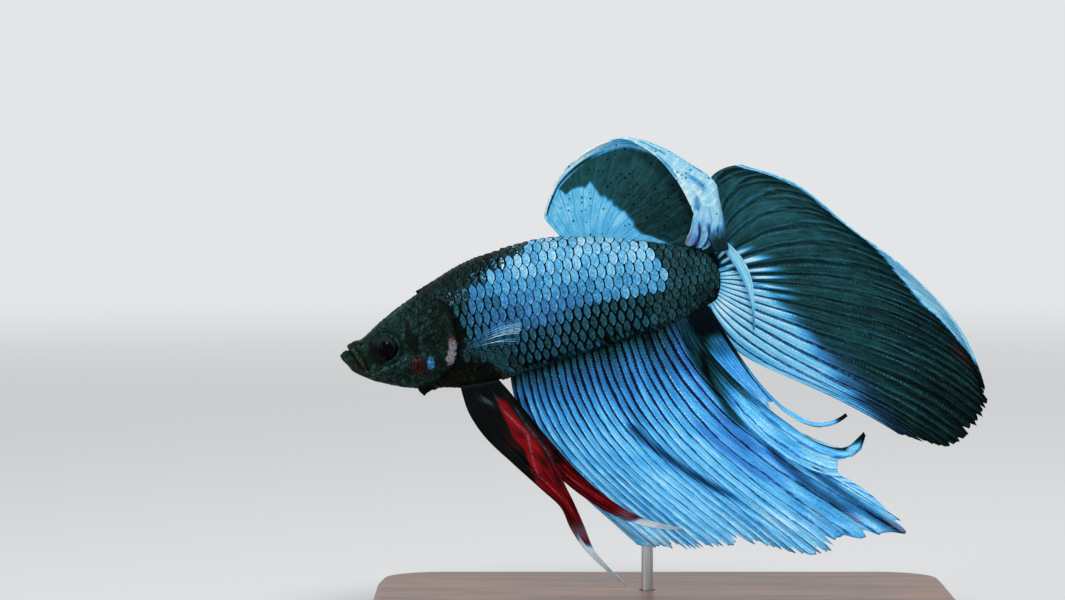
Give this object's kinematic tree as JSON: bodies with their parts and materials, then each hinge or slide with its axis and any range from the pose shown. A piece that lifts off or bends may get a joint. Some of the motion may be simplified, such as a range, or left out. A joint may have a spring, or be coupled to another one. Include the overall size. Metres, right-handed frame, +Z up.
{
  "type": "betta fish",
  "caption": "Life-size still model of a long-finned male betta swimming head down, fins spread, held on a wooden display stand by a thin steel rod.",
  "frame": {"origin": "on the ground, under the middle of the model", "axes": "+X towards the tail, +Z up, the fish's left side towards -Y"},
  "size_m": [0.0713, 0.038, 0.0557],
  "materials": {
    "head_skin": "smooth dark charcoal-teal skin, slightly wet",
    "flank_scales": "iridescent blue scales with dark edges",
    "stalk_scales": "dark green-teal scales",
    "eye": "wet black-brown eye",
    "dorsal_membrane": "thin rayed fin, dark teal and pale blue",
    "caudal_membrane": "thin rayed fin, dark teal with a pale blue wedge",
    "anal_membrane": "thin rayed fin, sky blue with dark ray lines",
    "pelvic_membrane": "deep red and black narrow fin with a white tip",
    "pectoral_membrane": "clear fin with pale blue rays",
    "stand_wood": "oiled walnut",
    "stand_steel": "brushed stainless steel"
  },
  "bodies": {
    "root": {"head": "head_skin", "lower_jaw": "head_skin", "gill_cover_left": "head_skin", "gill_cover_right": "head_skin", "gill_beard": "head_skin", "eye_left": "eye", "eye_right": "eye", "trunk": "flank_scales", "tail_stalk": "stalk_scales", "dorsal_fin": "dorsal_membrane", "dorsal_streamer": "dorsal_membrane", "caudal_fin": "caudal_membrane", "anal_fin": "anal_membrane", "pelvic_fin_left": "pelvic_membrane", "pelvic_fin_right": "pelvic_membrane", "pectoral_fin_left": "pectoral_membrane", "pectoral_fin_right": "pectoral_membrane", "stand_base": "stand_wood", "stand_rod": "stand_steel"}
  },
  "joints": []
}
